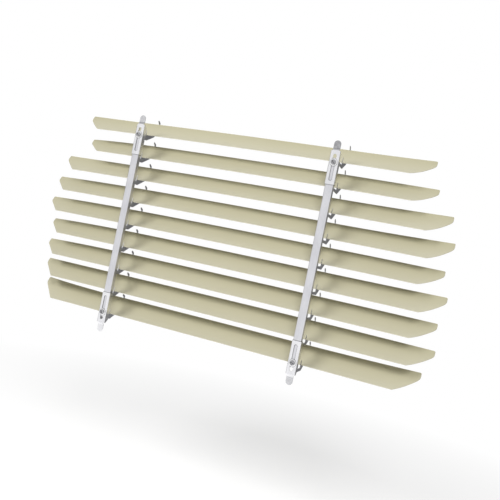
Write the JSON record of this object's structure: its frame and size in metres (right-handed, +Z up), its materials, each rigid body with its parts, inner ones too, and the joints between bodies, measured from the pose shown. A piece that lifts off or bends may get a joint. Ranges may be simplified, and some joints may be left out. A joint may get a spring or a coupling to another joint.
{
  "type": "rear window louver",
  "caption": "Horizontal slats carried by two folded uprights whose sliding end hooks tuck into the seal of a car's rear window.",
  "frame": {"origin": "midway between the four clamp screws, on the uprights' front face", "axes": "+X along the slats, to the right when looking at the uprights; +Y from the uprights' front face back to the slats, away from the window glass; +Z up along the uprights"},
  "size_m": [0.7406, 0.0763, 0.3831],
  "materials": {
    "slat_enamel": "satin",
    "plated_steel": "satin",
    "fastener_steel": "bright"
  },
  "bodies": {
    "louver": {"slat_1": "slat_enamel", "slat_2": "slat_enamel", "slat_3": "slat_enamel", "slat_4": "slat_enamel", "slat_5": "slat_enamel", "slat_6": "slat_enamel", "slat_7": "slat_enamel", "slat_8": "slat_enamel", "slat_9": "slat_enamel", "left_upright": "plated_steel", "right_upright": "plated_steel", "left_top_screw": "fastener_steel", "left_bottom_screw": "fastener_steel", "right_top_screw": "fastener_steel", "right_bottom_screw": "fastener_steel", "left_top_washer": "fastener_steel", "left_bottom_washer": "fastener_steel", "right_top_washer": "fastener_steel", "right_bottom_washer": "fastener_steel", "left_top_nut": "fastener_steel", "left_bottom_nut": "fastener_steel", "right_top_nut": "fastener_steel", "right_bottom_nut": "fastener_steel"},
    "hook_left_top": {"left_top_hook": "plated_steel"},
    "hook_left_bottom": {"left_bottom_hook": "plated_steel"},
    "hook_right_top": {"right_top_hook": "plated_steel"},
    "hook_right_bottom": {"right_bottom_hook": "plated_steel"}
  },
  "joints": [
    {"name": "left_top_hook_slide", "type": "slide", "parent": "louver", "child": "hook_left_top", "axis": [0, 0, 1], "range_m": [-0.0103, 0.0253]},
    {"name": "left_bottom_hook_slide", "type": "slide", "parent": "louver", "child": "hook_left_bottom", "axis": [0, 0, -1], "range_m": [-0.0103, 0.0253]},
    {"name": "right_top_hook_slide", "type": "slide", "parent": "louver", "child": "hook_right_top", "axis": [0, 0, 1], "range_m": [-0.0103, 0.0253]},
    {"name": "right_bottom_hook_slide", "type": "slide", "parent": "louver", "child": "hook_right_bottom", "axis": [0, 0, -1], "range_m": [-0.0103, 0.0253]}
  ]
}
